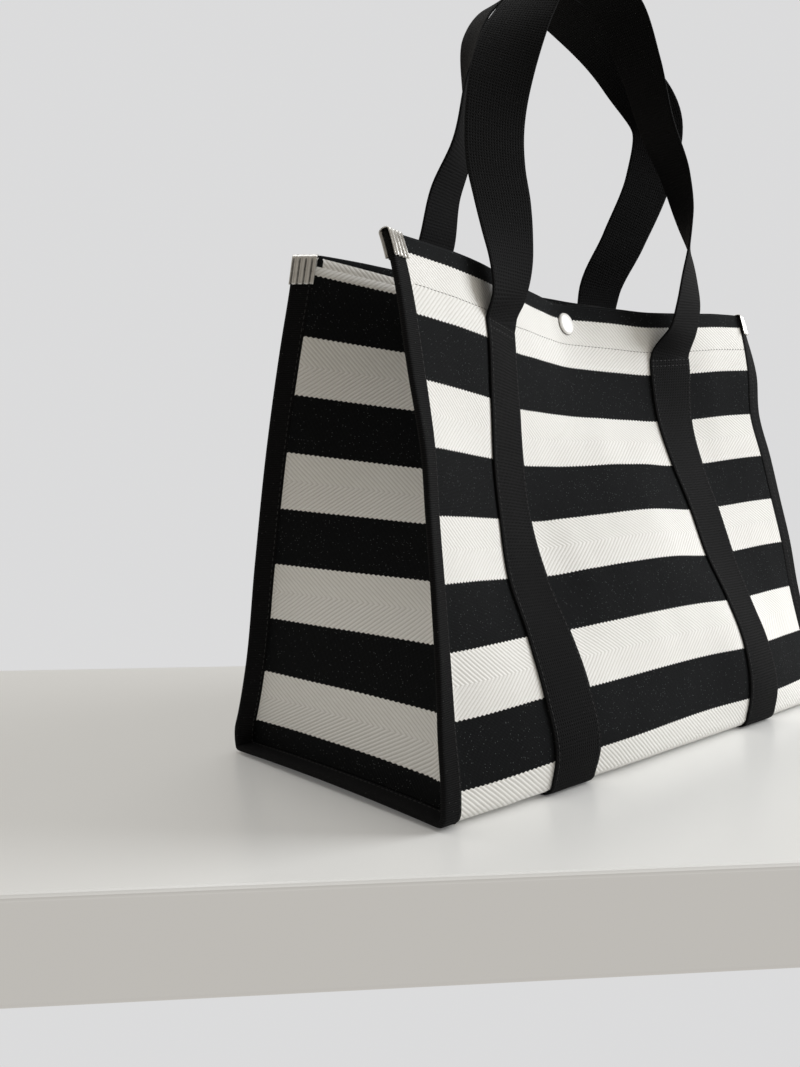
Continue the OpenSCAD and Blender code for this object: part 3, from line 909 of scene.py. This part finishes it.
def loop_rows(side, left, right):
    """Rows of the free loop between the last sewn row on the left and the first one on the right."""
    middle = len(strap_overs) // 2

    def edge_turn(row):
        way = row[-1] - row[0]
        return math.degrees(math.atan2(way[1], way[0]))

    knots = np.array(loops[side], float)
    first, last = left[-1], right[-1]
    start_turn = edge_turn(first) % 360
    end_turn = edge_turn(last) + (360 if side == BACK else 0)
    sewn_left, sewn_right = left[[-4, -1], middle], right[[-1, -4], middle]
    centres = np.vstack([sewn_left, knots[:, :3] / 1000, sewn_right])
    turns = np.concatenate([[start_turn] * 2, knots[:, 3], [end_turn] * 2])
    gone = np.concatenate([[0], np.cumsum(np.linalg.norm(np.diff(centres, axis=0), axis=1))])
    at = np.arange(gone[1], gone[-2], loop_step)[1:]
    path = curve_through(gone, centres, at)
    turn = np.radians(curve_through(gone, turns, at))
    way = np.gradient(path, axis=0)
    way /= np.linalg.norm(way, axis=1, keepdims=True)
    outer = np.column_stack([np.cos(turn), np.sin(turn), np.zeros(len(turn))])
    outer -= way * np.sum(outer * way, axis=1, keepdims=True)
    outer /= np.linalg.norm(outer, axis=1, keepdims=True)
    rows = path[:, None] + outer[:, None] * strap_overs[None, :, None]
    for sewn, gap in ((first, at - gone[1]), (last, gone[-2] - at)):
        flat = sewn[middle] + (sewn[-1] - sewn[0]) / strap_w * strap_overs[:, None]
        fade = 1 - smooth(gap / loop_fade)
        rows += (sewn - flat)[None] * fade[:, None, None]
    return rows


def grid_normals(rows):
    normals = np.cross(np.gradient(rows, axis=0), np.gradient(rows, axis=1))
    return normals / np.linalg.norm(normals, axis=2, keepdims=True)


for side, label in ((FRONT, "front"), (BACK, "back")):
    left, right = wall_strap(side, -1), wall_strap(side, 1)
    rows = np.concatenate([left, loop_rows(side, left, right), right[::-1]])
    strap = band_mesh(
        label + "_webbing", rows, grid_normals(rows), strap_halves, strap_overs, webbing
    )
    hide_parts(label + "_left_strap", label + "_right_strap", label + "_handle")
    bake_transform(strap)

for end, label in ((-1, "left"), (1, "right")):
    drops = np.linspace(base_join - 0.0005, wall_length + half_d - 0.003, 30)
    runs = []
    for side in (FRONT, BACK):
        middle = strap_middles[side, end][1]
        runs.append(body_at(side, middle + strap_overs[None, :] * end, drops[:, None], strap_off))
    rows = np.concatenate([runs[0], runs[1][::-1]])
    strap = band_mesh(
        "base_" + label + "_webbing", rows, grid_normals(rows), strap_halves, strap_overs, webbing
    )
    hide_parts("base_" + label + "_strap")
    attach(strap, "bag")


# Snap: an enamelled cap in a dark metal rim outside each wall. A socket inside the front wall takes
# the stud inside the back one.
snap_drop = 0.0130
snap_x = -0.0025
snap_turns = 56


def mottled(tree, shader, scale, detail, first, second):
    spot = place(tree, "TexCoord").outputs["Object"]
    cloud = place(tree, "TexNoise", {"Vector": spot, "Scale": scale, "Detail": detail})
    tint = blend_colour(tree, cloud.outputs["Fac"], first, second)
    tree.links.new(tint, shader.inputs["Base Color"])


enamel, tree, shader = new_material("cream enamel", 0.3, Coat_Weight=0.5, Coat_Roughness=0.15)
mottled(tree, shader, 180.0, 3.0, (0.92, 0.915, 0.89, 1), (0.97, 0.965, 0.95, 1))
dark_rim, tree, shader = new_material("dark rim", 0.35, Metallic=1.0)
mottled(tree, shader, 400.0, 4.0, (0.10, 0.095, 0.09, 1), (0.30, 0.29, 0.27, 1))


def turned(name, profile, side, out, material, flip=1):
    """A round piece on the wall's snap line, from radii and heights in mm about its middle."""
    centre = body_at(side, snap_x, snap_drop, out)
    above, below = (body_at(side, snap_x, snap_drop + gap) for gap in (-0.006, 0.006))
    to_left, to_right = (body_at(side, snap_x + gap, snap_drop) for gap in (-0.007, 0.007))
    axis = np.cross(above - below, to_right - to_left)
    axis = axis / np.linalg.norm(axis)
    axis *= flip * (np.sign(axis[1]) or 1) * (-1 if side == FRONT else 1)
    u = np.cross(axis, [0, 0, 1])
    u /= np.linalg.norm(u)
    v = np.cross(axis, u)
    points = []
    for radius, height in profile:
        for turn in range(snap_turns):
            angle = 2 * math.pi * turn / snap_turns
            spoke = u * math.cos(angle) + v * math.sin(angle)
            points.append(centre + spoke * radius / 1000 + axis * height / 1000)
    faces = grid_faces(len(profile), snap_turns, wrap=True)
    last_ring = (len(profile) - 1) * snap_turns
    faces += [range(snap_turns), range(last_ring, last_ring + snap_turns)[::-1]]
    piece = add_mesh(name, points, faces, material)
    face_outward(piece)
    return piece


cap_dome = [
    (7.1, 0.3), (7.35, 0.8), (7.2, 1.25), (6.5, 1.6), (5.4, 1.9), (3.6, 2.1), (1.6, 2.2),
    (0.1, 2.22),
]
cap_rim = [(6.8, 0.0), (7.5, 0.05), (7.75, 0.3), (7.7, 0.65), (7.45, 0.8), (7.2, 0.7), (6.9, 0.4)]
socket_form = [
    (6.4, 0.0), (6.5, 0.5), (6.2, 1.0), (5.2, 1.2), (4.6, 1.9), (3.9, 2.1), (3.2, 2.0),
    (2.9, 1.2), (2.8, 0.6), (0.1, 0.6),
]
stud_form = [
    (6.4, 0.0), (6.5, 0.5), (6.2, 0.9), (4.6, 1.1), (3.2, 1.2), (2.4, 1.6), (2.2, 2.4),
    (2.6, 3.1), (2.5, 3.7), (1.6, 4.2), (0.1, 4.3),
]
for side, label in ((FRONT, "front"), (BACK, "back")):
    cap = turned(label + "_snap_enamel", cap_dome, side, cloth_t / 2, enamel)
    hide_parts(label + "_snap_cap")
    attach(cap, "bag")
    rim = turned(label + "_snap_rim", cap_rim, side, cloth_t / 2, dark_rim)
    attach(rim, "bag")
for side, form, name in (
    (FRONT, socket_form, "front_snap_socket"), (BACK, stud_form, "back_snap_stud"),
):
    inside = turned(name + "_metal", form, side, -hem_offset - cloth_t / 2, nickel, flip=-1)
    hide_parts(name)
    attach(inside, "bag")


# Stitching: a run of short thread stitches along each hem, and black ones along the webbing, across
# the tops of the straps and along the bindings.
hem_stitch_drop = 0.0272
thread_lift = 0.00002
stitch_inset = 0.0022
bar_half = 0.0165
rows_under_clip = 10


def stitch_tree():
    tree = bpy.data.node_groups.new("stitches", "GeometryNodeTree")
    face = tree.interface
    face.new_socket("Lines", in_out="INPUT", socket_type="NodeSocketGeometry")
    for label, value in (("Pitch", 0.003), ("Length", 0.0022), ("Thickness", 0.0006)):
        face.new_socket(label, in_out="INPUT", socket_type="NodeSocketFloat").default_value = value
    face.new_socket("Thread", in_out="INPUT", socket_type="NodeSocketMaterial")
    face.new_socket("Stitches", in_out="OUTPUT", socket_type="NodeSocketGeometry")
    kinds = {
        "start": "NodeGroupInput", "end": "NodeGroupOutput", "curve": "GeometryNodeMeshToCurve",
        "resample": "GeometryNodeResampleCurve", "tangent": "GeometryNodeInputTangent",
        "turn": "FunctionNodeAlignRotationToVector", "bead": "GeometryNodeMeshUVSphere",
        "size": "ShaderNodeCombineXYZ", "instance": "GeometryNodeInstanceOnPoints",
        "real": "GeometryNodeRealizeInstances", "finish": "GeometryNodeSetMaterial",
        "smooth": "GeometryNodeSetShadeSmooth",
    }
    n = {key: tree.nodes.new(kind) for key, kind in kinds.items()}
    n["resample"].mode = "LENGTH"
    n["turn"].axis = "X"
    n["bead"].inputs["Segments"].default_value = 6
    n["bead"].inputs["Rings"].default_value = 5
    n["bead"].inputs["Radius"].default_value = 0.5
    for a, out, b, into in (
        ("start", "Lines", "curve", "Mesh"), ("curve", 0, "resample", "Curve"),
        ("start", "Pitch", "resample", "Length"), ("resample", 0, "instance", "Points"),
        ("tangent", 0, "turn", "Vector"), ("turn", 0, "instance", "Rotation"),
        ("bead", 0, "instance", "Instance"), ("start", "Length", "size", "X"),
        ("start", "Thickness", "size", "Y"), ("start", "Thickness", "size", "Z"),
        ("size", 0, "instance", "Scale"), ("instance", 0, "real", 0),
        ("real", 0, "smooth", 0), ("smooth", 0, "finish", 0),
        ("start", "Thread", "finish", "Material"), ("finish", 0, "end", 0),
    ):
        tree.links.new(n[a].outputs[out], n[b].inputs[into])
    return tree


stitches = stitch_tree()


def stitched(name, lines, pitch, length, thickness, thread):
    points, edges = [], []
    for line in lines:
        edges += [(len(points) + i, len(points) + i + 1) for i in range(len(line) - 1)]
        points += [tuple(p) for p in line]
    mesh = bpy.data.meshes.new(name)
    mesh.from_pydata(points, edges, [])
    piece = bpy.data.objects.new(name, mesh)
    bpy.context.scene.collection.objects.link(piece)
    sewing = piece.modifiers.new("stitches", "NODES")
    sewing.node_group = stitches
    given = {s.name: s.identifier for s in stitches.interface.items_tree if s.in_out == "INPUT"}
    sewing[given["Pitch"]] = pitch
    sewing[given["Length"]] = length
    sewing[given["Thickness"]] = thickness
    sewing[given["Thread"]] = thread
    return settled(piece)


def thread_material(name, light, dark):
    material, tree, shader = new_material(name, 0.7)
    spot = place(tree, "TexCoord")
    ply = place(tree, "TexNoise", {"Vector": spot.outputs["Object"], "Scale": 1500.0})
    tree.links.new(blend_colour(tree, ply.outputs["Fac"], dark, light), shader.inputs["Base Color"])
    return material


# Painted shade: the hem thread is off-white. Its grey colour stands in for the shade in its stitch
# holes, which makes the line look dark and dashed.
hem_thread_painted_shade = thread_material("hem thread with painted shade", (0.30, 0.29, 0.27, 1), (0.10, 0.10, 0.095, 1))
black_thread = thread_material("black thread", (0.02, 0.02, 0.021, 1), (0.004, 0.004, 0.004, 1))

hem_lines = []
hem_xs = np.linspace(-half_w + 0.003, half_w - 0.003, 120)
for side in (FRONT, BACK):
    outside, inside = cloth_t / 2 + thread_lift, -hem_offset - cloth_t / 2 - thread_lift
    hem_lines += [body_at(side, hem_xs, hem_stitch_drop, out) for out in (outside, inside)]
hem_thread = stitched("hem_stitching", hem_lines, 0.0034, 0.0024, 0.00055, hem_thread_painted_shade)
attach(hem_thread, "bag")

black_lines = []
strap_top = strap_off + strap_t / 2
for (side, end), (top, foot) in strap_middles.items():
    drops = np.linspace(stitch_drop, wall_length - 0.01, 90)
    middle = top + (foot - top) * drops / wall_length
    for edge in (-1, 1):
        inset_edge = middle + edge * (strap_w / 2 - stitch_inset)
        black_lines.append(body_at(side, inset_edge, drops, strap_top))
    for drop in (stitch_drop + 0.0005, stitch_drop + 0.0045):
        spread = np.linspace(-bar_half, bar_half, 12)
        black_lines.append(body_at(side, top + spread, drop, strap_top))
for end in (-1, 1):
    for side in (FRONT, BACK):
        roots, outs, across, _ = seams[end, side]
        for face in (-1, 1):
            on_face = across * (seam_layers / 2 + face * binding_t / 2)
            line = roots + outs * (binding_start + stitch_inset) + on_face
            black_lines.append(line[rows_under_clip:])
black_stitching = stitched("black_stitching", black_lines, 0.0036, 0.0026, 0.0006, black_thread)
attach(black_stitching, "bag")
